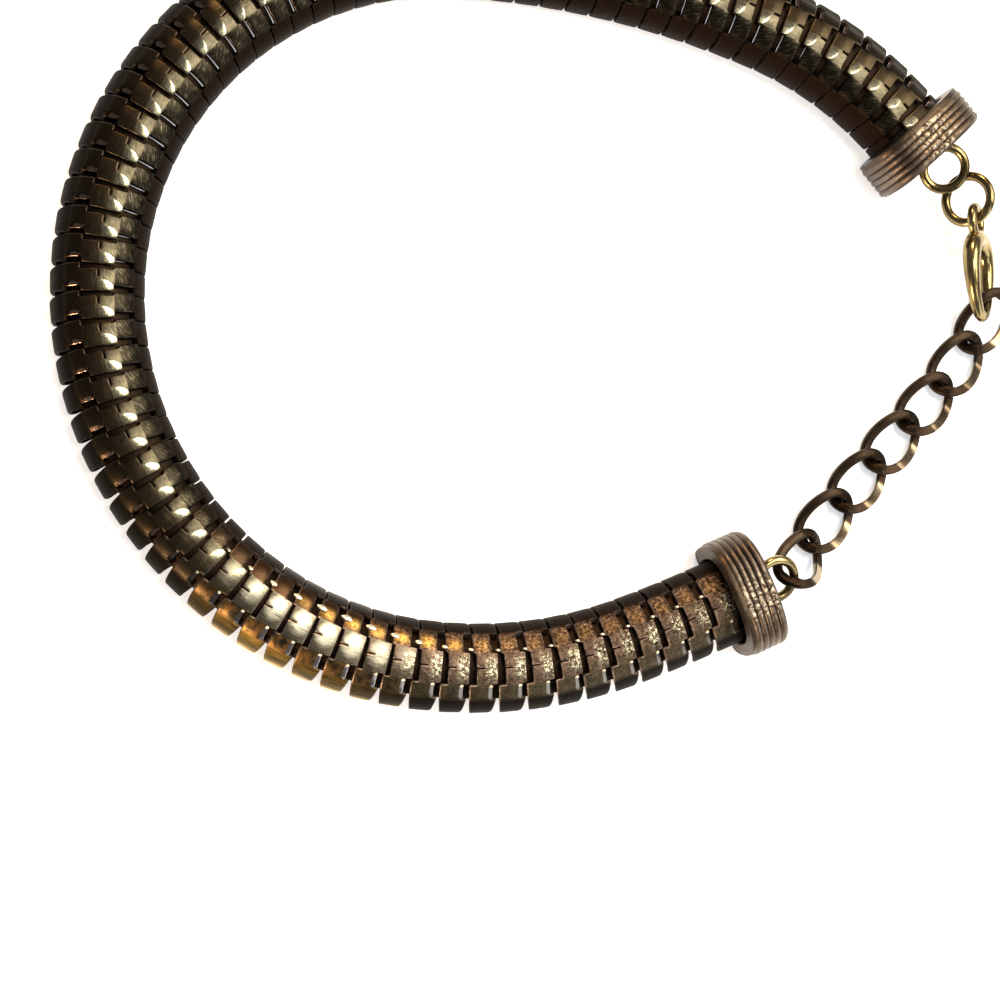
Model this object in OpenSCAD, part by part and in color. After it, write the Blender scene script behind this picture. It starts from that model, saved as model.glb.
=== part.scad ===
// Snake chain bracelet, lying flat on its back and fastened into a loop.
// The origin is in the middle of the loop, on the surface it lies on, and +Z is up.
// The plates' rough edge is on the outside of the loop, at -Y in a link's own frame.

/* [Snake chain] */
// Width of the chain across its plates
chain_w = 7.2; // [7:0.1:7.4]
// Height of the chain from its flat back to its crown
chain_h = 4.2; // [4:0.1:4.6]
// Thickness of the sheet that the links are stamped from
sheet = 0.28; // [0.25:0.01:0.3]
// Height of the crimped lips that keep the links together
lip_h = 0.25; // [0.24:0.01:0.26]
// Space between a link's neck and the lip round it
neck_play = 0.17; // [0.14:0.01:0.18]

/* [End caps] */
// Width of a cap across the chain
cap_w = 9.7; // [9.5:0.1:10.5]
// Height of a cap
cap_h = 5.9; // [5.8:0.1:6.4]
// Length of a cap along the chain
cap_l = 3.3; // [3.2:0.1:3.7]
// Thickness of a cap's walls
cap_wall = 0.9; // [0.7:0.1:1]
// Number of ridges round a cap
ridge_count = 5; // [3:1:5]

/* [Extender and clasp] */
// Thickness of the wire of the extender's links
wire = 0.83; // [0.7:0.01:0.85]
// Length of an extender link over its wire
ext_link_l = 6.33; // [6.3:0.01:6.4]
// Width of an extender link over its wire
ext_link_w = 4.43; // [4.3:0.01:4.5]
// Twist of an extender link, as the rise of its sides
ext_twist = 0.55; // [0.5:0.01:0.6]
// Wire of the rings on the caps and of the jump ring
ring_wire = 0.8; // [0.7:0.05:0.8]
// Length of the clasp's hook over its metal
clasp_l = 7.8; // [7.6:0.1:8]

/* [Hidden] */
tau = 360;
plate_l = 1.6;
link_mid = plate_l / 2;
zone = chain_w * 0.195;
edge = chain_w * 0.385;
mid_z = chain_h / 2;
over = 1;

// Sections: height of the widest place, half width of the flat back, and how far out the
// plates' edge may come on a section that is drawn in, all as shares
widest_at = 0.35;
back_share = 0.88;
edge_limit = 0.97;

// Stepped plates of a link, one row each: side limits, height limits, rear end, front end
Y0 = 0; Y1 = 1; Z0 = 2; Z1 = 3; X0 = 4; X1 = 5;
plates = [
    [-chain_w, -edge, -over, chain_h + over, -0.45, 1.2],
    [-edge, -zone, mid_z, chain_h + over, -0.42, 1.5],
    [-zone, zone, mid_z, chain_h + over, 0, plate_l],
    [zone, edge, mid_z, chain_h + over, 0.07, 1.2],
    [edge, chain_w, -over, chain_h + over, -0.05, 1.6],
    [-edge, edge, -over, mid_z, 0.05, 1.45]
];

// Neck of a link, lips, and the lugs on the neck that catch behind the lips
web_x = 1.2;
web_l = 0.25;
web_half = 1.25;
lip_l = 0.2;
lip_half = 0.8;
lug_half = 0.5;
tongue_half = 2.4;
lug_x = 2.68;
neck_end = lug_x + lip_l;
neck_in = 0.95;
neck_out = sheet + lip_h + neck_play;
lug_in = sheet + 0.15;

// Line of the chain from the visible cap round to the clasp's cap, one row for each arc:
// radius, turn in degrees, number of links on it
RADIUS = 0; TURN = 1; LINKS = 2;
arcs = [
    [150, 3.4, 4],
    [37, 27.7, 8],
    [28.5, 34.8, 8],
    [28.5, 25.2, 6],
    [28.5, 111.9, 27],
    [75, 20, 12],
    [31.3, 28, 7]
];
line_start = [14.1, -23.18];
line_heading = 203;

// How far a cap covers the chain, and how much its floor lifts the chain near it
cap_cover = 0.7;
cap_floor = 0.25;
chain_lift = 0.35;
lift_span = 32;

// The cap's closed end, its ridges, and the ring soldered to it
cap_back = 0.8;
ridge_h = 0.14;
ridge_l = 0.38;
ridge_first = 0.12;
loop_r = 1.7;
loop_z = 2.9;
loop_roll = 25;
loop_reach = 1.3;

// Links of the extender, the jump ring and the clasp as they lie, one row each:
// x, y, z, heading, dip, roll
X = 0; Y = 1; Z = 2; HEADING = 3; DIP = 4; ROLL = 5;
flat_z = 0.95;
extender = [
    [20.38, -20.09, 2.0, 45, 27, 0],
    [22.97, -16.76, flat_z, 48.5, 0, 0],
    [25.98, -13.42, flat_z, 47.5, 0, 0],
    [29.05, -10.13, flat_z, 46.5, 0, 0],
    [32.15, -6.86, flat_z, 46.5, 0, 0],
    [35.02, -3.41, flat_z, 52, 0, 0],
    [37.42, 0.24, 1.3, 55, -9, 0]
];
clasp_place = [36.37, 3.64, 2.4, -84, 5, -47];
jump_place = [35.34, 10.22, 2.5, 98, 0, 134];
jump_r = 1.9;

// Facets round and across the rings, and round and across the extender's wire
ring_segments = 32;
ring_sides = 16;
ext_segments = 20;
wire_sides = 6;

// Height at which an extender link's crests are filed flat
filed_half = 0.87;

// The clasp's hook, thin at its nose and thick at its tail, and the ring at its tail
hook_half_w = 2.2;
hook_taper = 0.2;
hook_thin = 0.48;
hook_thick = 0.88;
hook_segments = 24;
hook_sides = 8;
tail_r = 1.2;
tail_wire = 0.8;
tail_bite = 0.58;

gold = "#b08d4f";
dark_gold = "#9a7640";
rose_gold = "#a8774e";

ext_names = [for (i = [1:len(extender)]) str("extender_link_", i)];

// Section with a dome on a flat back, as points at the given angles round the dome
function dome(half_w, low, high, angles) =
    let (mid = low + widest_at * (high - low))
    concat(
        [for (a = angles) [half_w * cos(a), mid + (high - mid) * sin(a)]],
        [[-back_share * half_w, low], [back_share * half_w, low]]
    );
cap_angles = [for (i = [0:8]) 22.5 * i];
// The chain's section, drawn in by inset all round, has its points at the plates' side limits
function chain_section(inset) =
    let (half_w = chain_w / 2 - inset)
    let (a = acos(min(edge_limit, edge / half_w)), b = acos(zone / half_w))
    dome(half_w, inset, chain_h - inset, [0, a, b, 90, 180 - b, 180 - a, 180]);

// Place and heading on the chain's line
function arc_length(a) = a[RADIUS] * a[TURN] * PI / 180;
function before(i) = i == 0 ? 0 : before(i - 1) + arc_length(arcs[i - 1]);
function heading_before(i) = i == 0 ? line_heading : heading_before(i - 1) - arcs[i - 1][TURN];
function chord(radius, turn, heading) =
    2 * radius * sin(turn / 2) * [cos(heading - turn / 2), sin(heading - turn / 2)];
function point_before(i) =
    i == 0 ? line_start
    : point_before(i - 1) + chord(arcs[i - 1][RADIUS], arcs[i - 1][TURN], heading_before(i - 1));
arc_starts = [for (i = [0:len(arcs)]) point_before(i)];
arc_headings = [for (i = [0:len(arcs)]) heading_before(i)];
line_length = before(len(arcs));

// Rise of the chain near the caps, easing to nothing over lift_span
function ease(u) = u >= 1 ? 0 : 1 - u * u * (3 - 2 * u);
function rise(s) = chain_lift * (ease(s / lift_span) + ease((line_length - s) / lift_span));

// Every link's place: x, y, z, heading
stations = [
    for (i = [0:len(arcs) - 1], j = [0:arcs[i][LINKS] - 1])
    let (turned = arcs[i][TURN] * (j + 0.5) / arcs[i][LINKS])
    let (p = arc_starts[i] + chord(arcs[i][RADIUS], turned, arc_headings[i]))
    let (s = before(i) + arc_length(arcs[i]) * (j + 0.5) / arcs[i][LINKS])
    [p[X], p[Y], rise(s), arc_headings[i] - turned]
];

// Extrusion of a section along +X
module along(x0, x1) {
    translate([x0, 0, 0]) rotate([90, 0, 90]) linear_extrude(x1 - x0) children();
}

module between(outer, inner) {
    difference() {
        polygon(chain_section(outer));
        polygon(chain_section(inner));
    }
}

module strip(half) {
    translate([-half, -over]) square([2 * half, chain_h + 2 * over]);
}

module plate_ring(p) {
    along(p[X0], p[X1]) intersection() {
        between(0, sheet);
        translate([p[Y0], p[Z0]]) square([p[Y1] - p[Y0], p[Z1] - p[Z0]]);
    }
}

// Lips at the rear of the top and back plates
module lips() {
    along(plates[5][X0], plates[5][X0] + lip_l) intersection() {
        between(sheet, sheet + lip_h);
        strip(lip_half);
    }
}

// The neck is a tongue under the top plates and one on the back
module neck(x0) {
    for (z = [-over, mid_z + over / 2]) along(x0, neck_end) intersection() {
        between(neck_out, neck_in);
        translate([-tongue_half, z]) square([2 * tongue_half, mid_z + over / 2]);
    }
    along(lug_x, neck_end) intersection() {
        between(lug_in, neck_out);
        strip(lug_half);
    }
}

module link() {
    for (p = plates) plate_ring(p);
    lips();
    along(web_x, web_x + web_l) intersection() {
        between(sheet, neck_in);
        strip(web_half);
    }
    neck(web_x);
}

module snake_chain() {
    color(gold) for (s = stations)
        translate([s[X], s[Y], s[Z]]) rotate([0, 0, s[HEADING] + 180])
            translate([-link_mid, 0, 0]) link();
}

module round_ring(radius, thick) {
    rotate_extrude($fn = ring_segments) translate([radius, 0]) circle(d = thick, $fn = ring_sides);
}

// Cap in its own frame: mouth at x = 0, closed end and loop towards +X
module cap_shell() {
    inner_w = cap_w / 2 - cap_wall;
    difference() {
        union() {
            along(0, cap_l) polygon(dome(cap_w / 2, 0, cap_h, cap_angles));
            for (i = [0:ridge_count - 1]) {
                x = ridge_first + i * (cap_l - 2 * ridge_first - ridge_l) / (ridge_count - 1);
                along(x, x + ridge_l)
                    polygon(dome(cap_w / 2 + ridge_h, 0, cap_h + ridge_h, cap_angles));
            }
        }
        along(-over, cap_l - cap_back) polygon(dome(inner_w, cap_floor, cap_h - cap_wall, cap_angles));
    }
    translate([cap_l + loop_reach, 0, loop_z]) rotate([loop_roll, 0, 0])
        round_ring(loop_r, ring_wire);
}

module at_cap(i, turn) {
    p = arc_starts[i];
    h = arc_headings[i] + turn;
    translate([p[X], p[Y], 0]) rotate([0, 0, h]) translate([-cap_cover, 0, 0]) children();
}

// Socket in the visible cap, which takes the neck of the first link
module extender_cap() {
    gap = arc_length(arcs[0]) / arcs[0][LINKS] / 2;
    socket_x = cap_cover + gap - link_mid;
    color(dark_gold) at_cap(0, 180) {
        cap_shell();
        translate([socket_x, 0, chain_lift]) {
            along(0, cap_l - socket_x - link_mid / 2) between(0, sheet);
            lips();
        }
    }
}

// Neck in the clasp's cap, which goes into the last link
module clasp_cap() {
    last = len(arcs);
    gap = arc_length(arcs[last - 1]) / arcs[last - 1][LINKS] / 2;
    root_x = cap_cover + gap + link_mid;
    color(dark_gold) at_cap(last, 0) {
        cap_shell();
        translate([root_x, 0, chain_lift]) rotate([0, 0, 180]) neck(web_x);
        translate([root_x - web_x, 0, chain_lift])
            along(0, cap_l - root_x + web_x - link_mid / 2) polygon(chain_section(neck_out));
    }
}

module placed(p) {
    translate([p[X], p[Y], p[Z]]) rotate([0, 0, p[HEADING]]) rotate([0, p[DIP], 0]) rotate([p[ROLL], 0, 0])
        children();
}

// Faces of a closed tube with n rings of m points
function tube_faces(n, m) = [
    for (i = [0:n - 1], j = [0:m - 1])
    let (i2 = (i + 1) % n, j2 = (j + 1) % m)
    each [
        [i * m + j, i2 * m + j2, i2 * m + j],
        [i * m + j, i * m + j2, i2 * m + j2]
    ]
];
function unit(v) = v / norm(v);

// Twisted link: an oval whose sides rise and fall, with the crests filed flat
function ext_point(t) = [
    (ext_link_l - wire) / 2 * cos(t),
    (ext_link_w - wire) / 2 * sin(t),
    ext_twist * sin(2 * t)
];
function ext_ring(t) =
    let (
        c = ext_point(t),
        along_it = unit(ext_point(t + 1) - ext_point(t - 1)),
        outward = unit(cross(along_it, [0, 0, 1])),
        upward = cross(outward, along_it)
    )
    [
        for (k = [0:wire_sides - 1])
        let (a = tau * (k + 0.5) / wire_sides)
        let (p = c + wire / 2 * (cos(a) * outward + sin(a) * upward))
        [p[X], p[Y], max(-filed_half, min(filed_half, p[Z]))]
    ];

module extender_link(i) {
    points = [for (k = [0:ext_segments - 1]) each ext_ring(k * tau / ext_segments)];
    color(rose_gold) placed(extender[i])
        polyhedron(points, tube_faces(ext_segments, wire_sides), convexity = 4);
}

module jump_ring() {
    color(gold) placed(jump_place) round_ring(jump_r, ring_wire);
}

// Clasp in its own frame: a closed hook, thin at its nose towards +X, with a tail ring
function hook_r(t) = (hook_thin + hook_thick) / 2 - (hook_thick - hook_thin) / 2 * cos(t);
function hook_point(t) =
    let (half_l = (clasp_l - hook_thin - hook_thick) / 2)
    [half_l * cos(t), hook_half_w * sin(t) * (1 - hook_taper * cos(t)), 0];
function hook_ring(t) =
    let (
        along_it = unit(hook_point(t + 1) - hook_point(t - 1)),
        outward = cross(along_it, [0, 0, 1])
    )
    [
        for (k = [0:hook_sides - 1])
        let (a = tau * (k + 0.5) / hook_sides)
        hook_point(t) + hook_r(t) * (cos(a) * outward + sin(a) * [0, 0, 1])
    ];

module clasp() {
    points = [for (k = [0:hook_segments - 1]) each hook_ring(k * tau / hook_segments)];
    tail_x = -hook_r(180) - tail_r - (clasp_l - hook_thin - hook_thick) / 2 + tail_bite;
    color(gold) placed(clasp_place) {
        polyhedron(points, tube_faces(hook_segments, hook_sides), convexity = 4);
        translate([tail_x, 0, 0]) round_ring(tail_r, tail_wire);
    }
}

snake_chain();
extender_cap();
clasp_cap();
for (i = [0:len(extender) - 1]) extender_link(i);
jump_ring();
clasp();
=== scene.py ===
import math
import random
from collections import namedtuple

import bpy
import numpy as np
from mathutils import Matrix, Vector
from mathutils.geometry import delaunay_2d_cdt


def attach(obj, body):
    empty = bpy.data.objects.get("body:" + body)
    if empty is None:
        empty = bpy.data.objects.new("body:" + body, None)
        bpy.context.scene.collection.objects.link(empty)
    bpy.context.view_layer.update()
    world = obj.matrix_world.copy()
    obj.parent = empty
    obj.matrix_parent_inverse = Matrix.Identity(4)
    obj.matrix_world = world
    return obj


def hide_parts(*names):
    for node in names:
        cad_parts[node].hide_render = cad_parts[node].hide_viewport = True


# A snake chain bracelet in dark antique gold, fastened and lying on its flat back.
# Lengths are in millimetres and angles in degrees, unless a comment says otherwise.
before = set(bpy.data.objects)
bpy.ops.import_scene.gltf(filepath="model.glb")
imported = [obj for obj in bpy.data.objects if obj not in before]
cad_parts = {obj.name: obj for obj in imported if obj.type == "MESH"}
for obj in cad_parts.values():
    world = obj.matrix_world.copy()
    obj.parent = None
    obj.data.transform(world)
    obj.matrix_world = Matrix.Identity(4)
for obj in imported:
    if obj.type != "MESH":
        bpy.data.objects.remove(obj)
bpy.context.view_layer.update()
MM = 0.001
TAU = 2 * math.pi
LOWEST = 0.004
rng = random.Random(7)

# The chain's line from the visible cap to the clasp's cap: radius, turn and number of links of each arc
ARCS = [
    (150, 3.4, 4),
    (37, 27.7, 8),
    (28.5, 34.8, 8),
    (28.5, 25.2, 6),
    (28.5, 111.9, 27),
    (75, 20, 12),
    (31.3, 28, 7),
]
LINE_START = (14.1, -23.18)
LINE_HEADING = 203.0
# The caps' floors lift the chain's ends, less and less over this span
CHAIN_LIFT, LIFT_SPAN = 0.35, 32.0
Station = namedtuple("Station", "x y z heading pitch radius")


def ease(u):
    """Falls softly from 1 to 0 while u goes from 0 to 1."""
    return 0.0 if u >= 1 else 1 - u * u * (3 - 2 * u)


def line():
    """The chain's stations, one for each link, and its two ends as x, y and heading."""
    x, y = LINE_START
    heading = LINE_HEADING
    total = sum(radius * math.radians(turn) for radius, turn, count in ARCS)
    gone = 0.0
    stations = []

    def along_arc(radius, turn):
        """Place after a turn along an arc that starts where the line has got to."""
        reach = 2 * radius * math.sin(math.radians(turn / 2))
        way = math.radians(heading - turn / 2)
        return x + reach * math.cos(way), y + reach * math.sin(way)

    for radius, turn, count in ARCS:
        pitch = radius * math.radians(turn) / count
        for j in range(count):
            part = turn * (j + 0.5) / count
            s = gone + radius * math.radians(part)
            z = CHAIN_LIFT * (ease(s / LIFT_SPAN) + ease((total - s) / LIFT_SPAN))
            stations.append(Station(*along_arc(radius, part), z, heading - part, pitch, radius))
        x, y = along_arc(radius, turn)
        gone += radius * math.radians(turn)
        heading -= turn
    return stations, (*LINE_START, LINE_HEADING), (x, y, heading)


STATIONS, CAP_START, CAP_END = line()


# Meshes
def shift(x, y=0.0, z=0.0):
    return Matrix.Translation((x, y, z))


def spin(degrees, axis="Z"):
    return Matrix.Rotation(math.radians(degrees), 4, axis)


def lay(matrix, points):
    """Points carried to their place and kept just above the floor."""
    moved = [matrix @ Vector(p) for p in points]
    return [(p.x, p.y, max(p.z, LOWEST)) for p in moved]


def circle(count):
    """Cosine and sine of even steps round a circle."""
    return [(math.cos(TAU * i / count), math.sin(TAU * i / count)) for i in range(count)]


def grid_faces(rows, columns, close_rows=False, close_columns=False):
    """Four-sided faces between rows of points, with the last joined to the first where asked."""
    faces = []
    for i in range(rows if close_rows else rows - 1):
        for j in range(columns if close_columns else columns - 1):
            i2, j2 = (i + 1) % rows, (j + 1) % columns
            faces.append((i * columns + j, i * columns + j2, i2 * columns + j2, i2 * columns + j))
    return faces


def flipped(faces):
    return [tuple(reversed(f)) for f in faces]


def mesh_piece(name, verts, faces, mats, sharp=38, uv=None, finish=None, face_mat=None):
    """Makes one mesh object, smooth but for edges sharper than an angle."""
    me = bpy.data.meshes.new(name)
    me.from_pydata([tuple(v) for v in np.asarray(verts, float) * MM], [], [tuple(f) for f in faces])
    me.update()
    if uv is not None:
        layer = me.uv_layers.new(name="UVMap")
        loops = np.zeros(len(me.loops), np.int32)
        me.loops.foreach_get("vertex_index", loops)
        layer.data.foreach_set("uv", np.asarray(uv, np.float32)[loops].ravel())
    if finish is not None:
        values = me.color_attributes.new("finish", "FLOAT_COLOR", "POINT")
        values.data.foreach_set("color", np.asarray(finish, np.float32).ravel())
    me.shade_smooth()
    me.set_sharp_from_angle(angle=math.radians(sharp))
    for m in mats:
        me.materials.append(m)
    if face_mat is not None:
        me.polygons.foreach_set("material_index", np.asarray(face_mat, np.int32))
    ob = bpy.data.objects.new(name, me)
    bpy.context.scene.collection.objects.link(ob)
    return ob


class Build:
    """Collects points and faces of one piece. Each point has a UV and four finish values."""

    def __init__(self):
        self.verts, self.faces, self.uvs, self.finish, self.mats = [], [], [], [], []

    def add(self, verts, faces, uv, finish=None, mat=0):
        base = len(self.verts)
        self.verts.extend(verts)
        self.faces.extend([tuple(base + i for i in f) for f in faces])
        self.uvs.extend(uv)
        self.finish.extend(finish if finish is not None else [(0, 0, 0, 0)] * len(verts))
        self.mats.extend([mat] * len(faces))

    def piece(self, name, mats, sharp):
        return mesh_piece(name, self.verts, self.faces, mats, sharp, self.uvs, self.finish, self.mats)


# The chain's section: half width, height of the crown and of the widest place, thickness of the sheet
HALF_W, CROWN, SIDE_Z = 3.585, 4.2, 1.47
SHEET = 0.28
TOP_STEPS = 120
SIDE_AND_FOOT = [
    (3.58, 1.1), (3.52, 0.7), (3.44, 0.42), (3.32, 0.22),
    (3.17, 0.1), (2.98, 0.04), (2.7, 0.02), (2.2, 0.02),
]


def section_table():
    """Distances along the section from its crown to its foot, with the place and outward normal there."""
    pts = []
    for k in range(TOP_STEPS + 1):
        a = math.radians(90 - 90 * k / TOP_STEPS)
        pts.append((HALF_W * math.cos(a), SIDE_Z + (CROWN - SIDE_Z) * math.sin(a)))
    pts = np.array(pts + SIDE_AND_FOOT)
    steps = np.hypot(*np.diff(pts, axis=0).T)
    s = np.concatenate([[0], np.cumsum(steps)])
    tangent = np.gradient(pts, s, axis=0)
    normal = np.stack([-tangent[:, 1], tangent[:, 0]], 1)
    return s, pts, normal / np.linalg.norm(normal, axis=1)[:, None]


SEC_S, SEC_P, SEC_N = section_table()


def s_at(y):
    """Distance from the crown to a place on the section's top."""
    return float(np.interp(y, SEC_P[:TOP_STEPS + 1, 0], SEC_S[:TOP_STEPS + 1]))


def on_section(s, depth):
    """Place across and up at a distance along the section, some way under its surface."""
    a = abs(s)
    y, z = np.interp(a, SEC_S, SEC_P[:, 0]), np.interp(a, SEC_S, SEC_P[:, 1])
    ny, nz = np.interp(a, SEC_S, SEC_N[:, 0]), np.interp(a, SEC_S, SEC_N[:, 1])
    y, z = y - depth * ny, z - depth * nz
    return (y if s >= 0 else -y), z


# Borders of the stepped plates along the section. The outside of the loop is negative
S_OUT, S_IN = s_at(1.35), s_at(1.2)
S_TOOTH, S_FAR = s_at(2.54), s_at(2.72)
S_WIDE = float(SEC_S[TOP_STEPS])
S_FOOT = float(SEC_S[-1])
# Length of the outer tabs' bevel and of the middle plates, start of their lip, lean of the links,
# and how far a link's middle is from its rear
BAR = 0.42
CROWN_L = 1.72
LIP_START = 0.76
LEAN_BACK = 0.62
LINK_MID = 0.8
# The slit in the rear of a middle plate
SLIT = [(0.055, 0.0), (0.04, 0.64), (-0.04, 0.64), (-0.055, 0.0)]
# Rounding of the plates' outline, longest step along it, and points closer than this are one
CORNER_R, EDGE_STEP, SAME_POINT = 0.1, 0.42, 0.012
# Rings round the outline, from the sheet's underside over its edge: inset, depth, wear
EDGE_RINGS = [(0, SHEET, 0.6), (0, 0.085, 1.0), (0.024, 0.026, 1.0), (0.075, 0.0, 0.5), (0.125, 0.0, 0.0)]
# How far the first link reaches on into the cap, and how many links show a lug
FIRST_REACH, LUG_LINKS = 0.7, 21
# A link's step in the UVs, and the finish that marks a knob for its painted highlight
UV_STEP = 4.0
KNOB_HIGHLIGHT_FINISH = (0.0, 0.1, 0.0, 2.0)
# The corner of the loop by its middle link, where the plates and lugs are longest
CORNER_LINK, CORNER_SPREAD = 15, 3.5
# How crinkled each link's plates are
CRINKLE = [min(1.0, max(0.04, 1.25 - i / 13.0)) for i in range(len(STATIONS))]


def at_corner(index):
    """1 at the corner of the loop, falling to 0 away from it."""
    return math.exp(-((index - CORNER_LINK) / CORNER_SPREAD) ** 2)


class Row(namedtuple("Row", "s0 s1 rear0 rear1 front0 front1")):
    """One row of plates: its limits along the section, and its rear and front ends at each limit."""

    def ends(self, s):
        t = (s - self.s0) / (self.s1 - self.s0)
        return self.rear0 + (self.rear1 - self.rear0) * t, self.front0 + (self.front1 - self.front0) * t


def link_rows(station, longer, reach=0.0):
    """Rows of a link's plates from the outside of the loop to the inside."""
    def gap_limit(rear, y, gap):
        """Front end that leaves a gap before the next link, at a place across the chain."""
        return rear + station.pitch * (1 - y / station.radius) - gap

    tab_rear = -0.6 + 0.85 * max(0.0, 2.25 - station.pitch)
    tab_front = gap_limit(tab_rear, -1.5, 0.28)
    tooth_root = gap_limit(tab_rear, -2.7, 0.2)
    tooth_front = min(1.2, gap_limit(tab_rear, -3.6, 0.66))
    crown_l = CROWN_L + longer
    far_rear = 0.04
    far_front, foot_front = (min(1.9, gap_limit(far_rear, y, 0.13)) for y in (2.8, 3.4))
    rows = [
        Row(-S_FOOT, -S_WIDE, 0.1, tab_rear + 0.06, 0.9, tooth_front - 0.04),
        Row(-S_WIDE, -S_TOOTH, tab_rear + 0.06, tab_rear, tooth_front - 0.04, tooth_root),
        Row(-S_TOOTH, -S_OUT, tab_rear, tab_rear, min(1.36, tab_front), min(1.34, tab_front)),
        Row(-S_OUT, S_IN, 0.0, 0.0, crown_l, crown_l),
        Row(S_IN, S_FAR, -0.22, -0.2, 1.3, 1.26),
        Row(S_FAR, S_FOOT, far_rear, far_rear, far_front, foot_front),
    ]
    return [row._replace(front0=row.front0 + reach, front1=row.front1 + reach) for row in rows]


def row_at(s, rows):
    return next((row for row in rows if row.s0 <= s <= row.s1), None)


def front_edge(s, rows):
    row = row_at(s, rows)
    return row.ends(s)[1] if row else rows[-1].front0


def lip_line(s):
    """Where the front lip of a middle plate bends down."""
    return LIP_START + (0.34 * s if s > 0 else 0.05 * s * s)


def past(x, start, span):
    """How far x is past a start, in spans, and 0 before it."""
    return max(0.0, (x - start) / span)


def plate_depth(s, x, rows):
    """How far the plates are rolled down at a place."""
    row = row_at(s, rows)
    if row is None:
        return 0.0
    rear, front = row.ends(s)
    if row.s0 == -S_OUT:
        u = max(0.0, x - lip_line(s))
        lip = 0.1 * u + 0.06 * u * u
        rear_dip = 0.09 * past(-x, -0.8, 0.8) ** 2 * (0.4 + 0.2 * abs(s))
        slit_dip = 0.05 * past(-abs(s), -0.25, 0.25) * past(-x, -0.7, 0.7)
        return lip + rear_dip + slit_dip
    if row.s1 == -S_OUT:
        return 0.15 * past(x, front - BAR, BAR) + 0.05 * past(-x, -rear - 0.2, 0.2) ** 2
    if row.s0 == S_IN:
        return 0.13 * past(x, front - 0.55, 0.55) ** 2 + 0.06 * past(-x, -rear - 0.25, 0.25) ** 2
    if row.s1 <= -S_TOOTH:
        return 0.06 * past(x, front - 0.3, 0.3) ** 2
    return 0.03 + 0.05 * past(x, front - 0.5, 0.5) ** 2


def lean(s, z):
    """How far a link's points move forward. It leans back, and more and more up its outer side."""
    return 0.06 - LEAN_BACK * (min(1.0, z / 3.6) if s < -S_OUT else 1.0)


def shell_points(loop, rows, depth):
    """Flattened points of the plates, bent round the section."""
    out = []
    for s, x in loop:
        y, z = on_section(s, plate_depth(s, x, rows) + depth)
        out.append((x + lean(s, z), y, max(z, 0.012)))
    return out


def round_corners(poly, r, steps=2):
    """Outline with its corners cut by short curves."""
    out = []
    n = len(poly)
    for i in range(n):
        p = np.array(poly[i])
        a, b = np.array(poly[i - 1]) - p, np.array(poly[(i + 1) % n]) - p
        la, lb = np.linalg.norm(a), np.linalg.norm(b)
        a, b = a / la, b / lb
        if np.dot(a, b) < -0.985:
            out.append(p)
            continue
        d = min(r, 0.45 * la, 0.45 * lb)
        for j in range(steps + 1):
            t = j / steps
            out.append(p + a * d * (1 - t) ** 2 + b * d * t ** 2)
    return out


def densify(poly, step):
    """Outline with no two points further apart than a step."""
    out = []
    for i in range(len(poly)):
        a, b = poly[i], poly[(i + 1) % len(poly)]
        k = max(1, int(math.ceil(np.linalg.norm(b - a) / step)))
        out += [a + (b - a) * j / k for j in range(k)]
    return out


def inset(poly, d):
    """Outline drawn in by a distance."""
    p = np.array(poly)
    e1, e2 = p - np.roll(p, 1, 0), np.roll(p, -1, 0) - p
    e1 /= np.linalg.norm(e1, axis=1)[:, None]
    e2 /= np.linalg.norm(e2, axis=1)[:, None]
    n1, n2 = np.stack([-e1[:, 1], e1[:, 0]], 1), np.stack([-e2[:, 1], e2[:, 0]], 1)
    m = n1 + n2
    m /= np.maximum(1e-9, np.linalg.norm(m, axis=1))[:, None]
    cosine = np.maximum(0.6, (m * n1).sum(1))
    return p + m * (d / cosine)[:, None]


def plate_outline(rows):
    """Outline of a link's plates laid flat: distance along the section, place along the chain."""
    corners = []
    for row in rows:
        corners += [(row.s0, row.front0), (row.s1, row.front1)]
    for row in reversed(rows):
        slit = SLIT if row.s0 == -S_OUT else []
        corners += [(row.s1, row.rear1), *slit, (row.s0, row.rear0)]
    kept = [corners[0]]
    for c in corners[1:]:
        if math.dist(c, kept[-1]) > SAME_POINT:
            kept.append(c)
    loop = densify(round_corners(kept, CORNER_R), EDGE_STEP)
    area = sum(loop[i - 1][0] * loop[i][1] - loop[i][0] * loop[i - 1][1] for i in range(len(loop)))
    return loop[::-1] if area < 0 else loop


def bend_points(rows):
    """Points inside the outline, closest where the plates bend."""
    points = []
    for row in rows:
        count = max(2, int(round((row.s1 - row.s0) / 0.36)))
        for i in range(count):
            s = row.s0 + (row.s1 - row.s0) * ((i + 0.5) / count)
            rear, front = row.ends(s)
            if row.s1 == -S_OUT:
                bevel = front - BAR
                xs = [rear + 0.3, rear + 0.75, bevel - 0.01, bevel + 0.05, front - 0.16]
            elif row.s0 == -S_OUT:
                lip = lip_line(s)
                xs = [] if abs(s) <= 0.2 else [0.18, 0.4, 0.6]
                xs += [lip - 0.02, lip + 0.03]
                xs += [lip + (front - 0.15 - lip) * q for q in (0.3, 0.65, 1.0)]
            else:
                xs = [rear + (front - rear) * (q + 0.5) / 4 for q in range(4)]
            points += [(s, x) for x in xs]
    return points


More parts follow.
